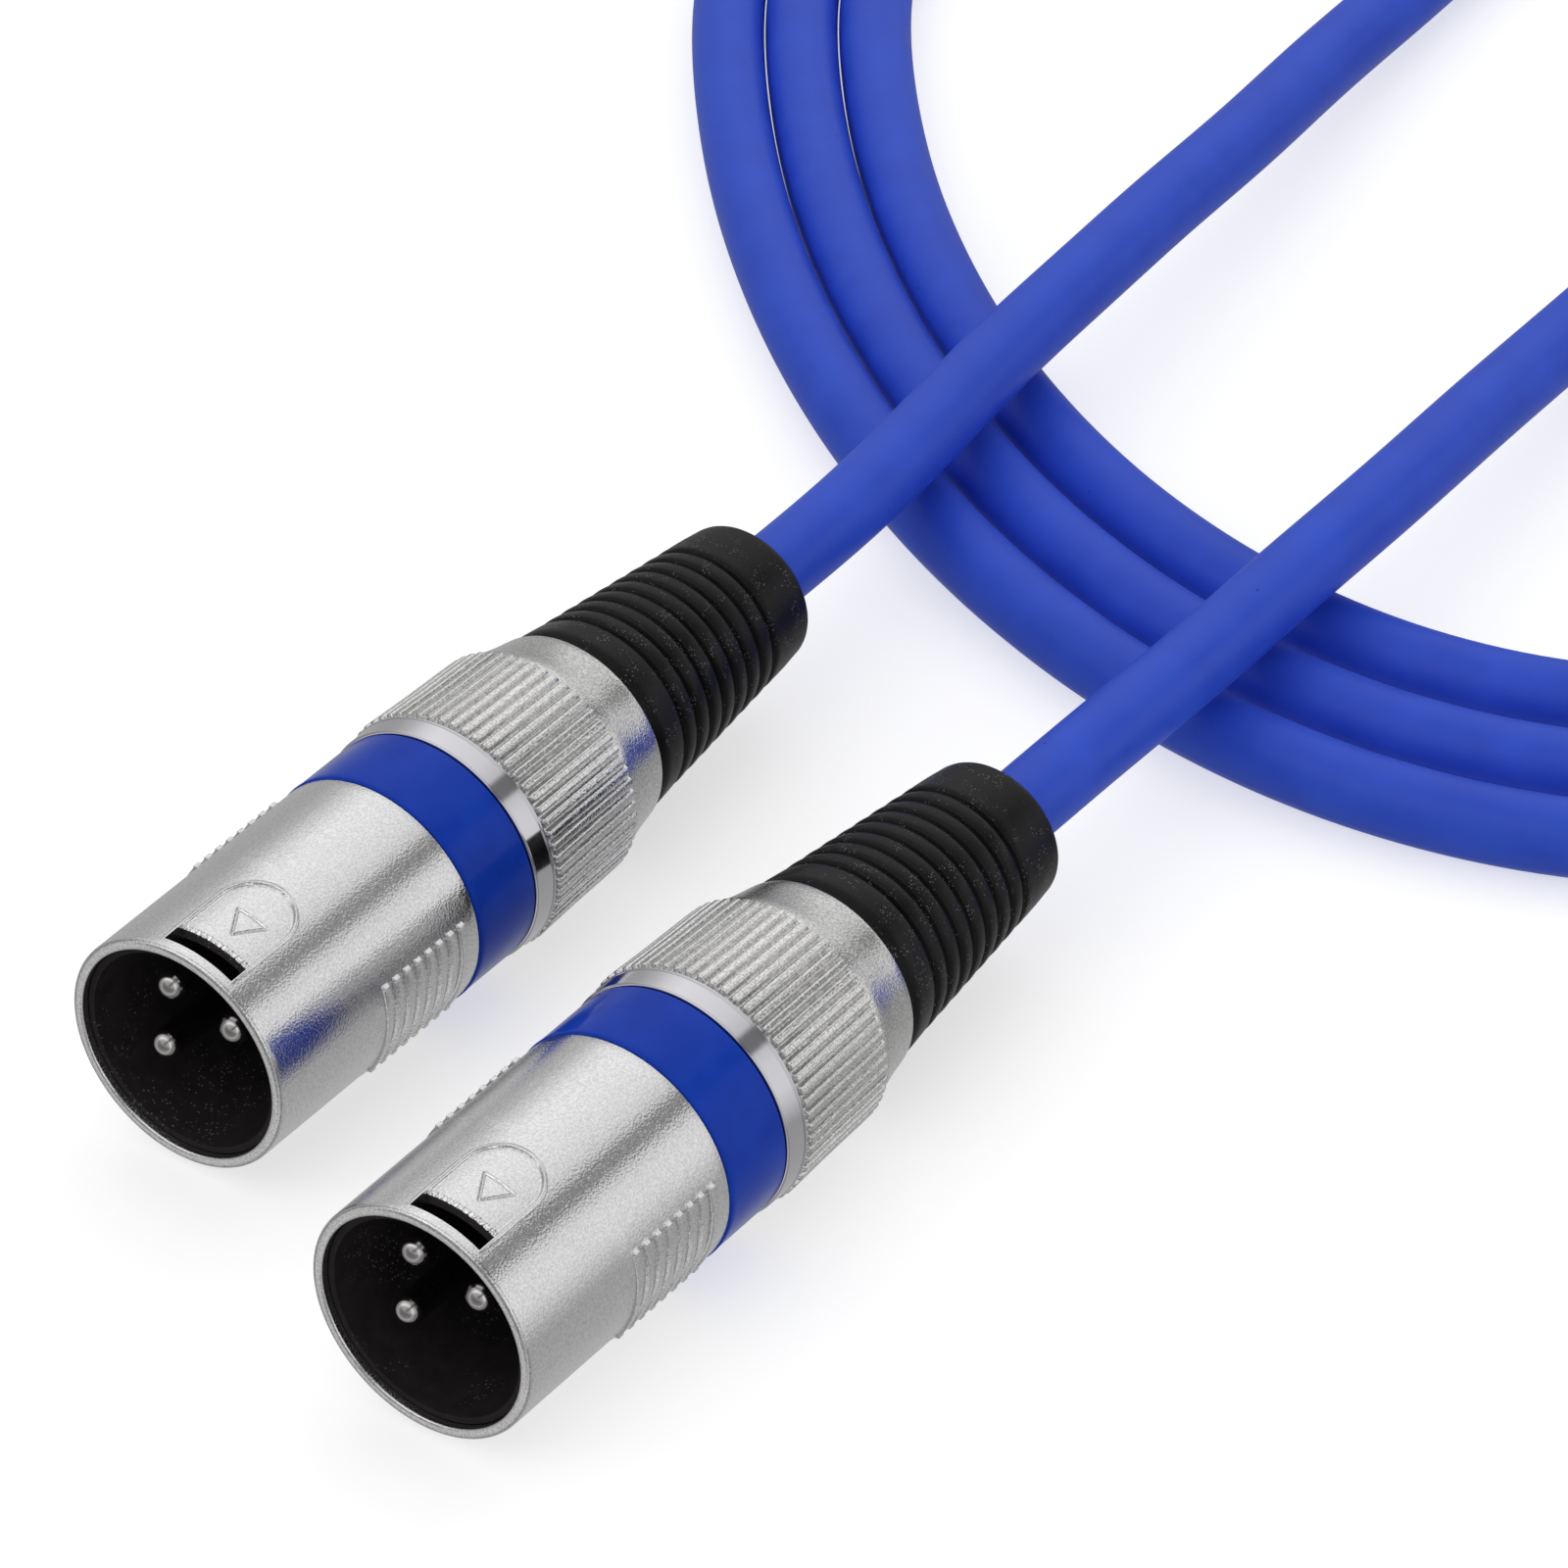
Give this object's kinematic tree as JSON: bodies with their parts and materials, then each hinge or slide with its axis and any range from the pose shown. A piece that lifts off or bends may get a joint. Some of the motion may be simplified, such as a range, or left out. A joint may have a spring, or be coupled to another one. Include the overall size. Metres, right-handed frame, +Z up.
{
  "type": "microphone cable",
  "caption": "Coiled microphone cable with a three-pin male connector, coding ring, knurled back nut and rubber boot on each end.",
  "frame": {"origin": "middle of the box of the two plugs, on the surface that they lie on", "axes": "+X along both plugs from the mouths towards the cable, +Y from plug B to plug A, +Z up"},
  "size_m": [0.2717, 0.1672, 0.02],
  "materials": {
    "satin_nickel": "pearl nickel plated die casting, satin with a fine grain",
    "nut_nickel": "pearl nickel plated, knurled, with a polished collar",
    "coding_blue": "glossy moulded plastic",
    "black_plastic": "matt moulded plastic",
    "grey_plastic": "matt moulded plastic",
    "contact_metal": "bright plated, turned",
    "spring_brass": "bare spring strip",
    "core_insulation": "smooth wire insulation",
    "boot_rubber": "matt moulded rubber",
    "cable_jacket": "satin flexible jacket"
  },
  "bodies": {
    "lead": {"plug_a_shell": "satin_nickel", "plug_a_insert": "black_plastic", "plug_a_contact_1": "contact_metal", "plug_a_contact_2": "contact_metal", "plug_a_contact_3": "contact_metal", "plug_a_ground_tab": "spring_brass", "plug_a_wires": "core_insulation", "plug_a_cable_clamp": "grey_plastic", "plug_a_jacket": "cable_jacket", "plug_a_coding_ring": "coding_blue", "plug_b_shell": "satin_nickel", "plug_b_insert": "black_plastic", "plug_b_contact_1": "contact_metal", "plug_b_contact_2": "contact_metal", "plug_b_contact_3": "contact_metal", "plug_b_ground_tab": "spring_brass", "plug_b_wires": "core_insulation", "plug_b_cable_clamp": "grey_plastic", "plug_b_jacket": "cable_jacket", "plug_b_coding_ring": "coding_blue", "cable_lead_a": "cable_jacket", "cable_lead_b": "cable_jacket", "cable_coil": "cable_jacket"},
    "plug_a_boot_slide": {"plug_a_boot": "boot_rubber"},
    "plug_a_nut": {"plug_a_back_nut": "nut_nickel"},
    "plug_b_boot_slide": {"plug_b_boot": "boot_rubber"},
    "plug_b_nut": {"plug_b_back_nut": "nut_nickel"}
  },
  "joints": [
    {"name": "boot_a", "type": "slide", "parent": "lead", "child": "plug_a_boot_slide", "axis": [1, 0, 0], "range_m": [0, 0.00551]},
    {"name": "nut_a", "type": "hinge", "parent": "plug_a_boot_slide", "child": "plug_a_nut", "pos_m": [0.01, 0.016, 0.01], "axis": [1, 0, 0], "range_deg": [0, 1980]},
    {"name": "boot_b", "type": "slide", "parent": "lead", "child": "plug_b_boot_slide", "axis": [1, 0, 0], "range_m": [0, 0.00551]},
    {"name": "nut_b", "type": "hinge", "parent": "plug_b_boot_slide", "child": "plug_b_nut", "pos_m": [-0.003, -0.016, 0.01], "axis": [1, 0, 0], "range_deg": [0, 1980]}
  ],
  "couplings": [
    {"joint": "boot_a", "follows": "nut_a", "m_per_rad": 0.00015915},
    {"joint": "boot_b", "follows": "nut_b", "m_per_rad": 0.00015915}
  ]
}
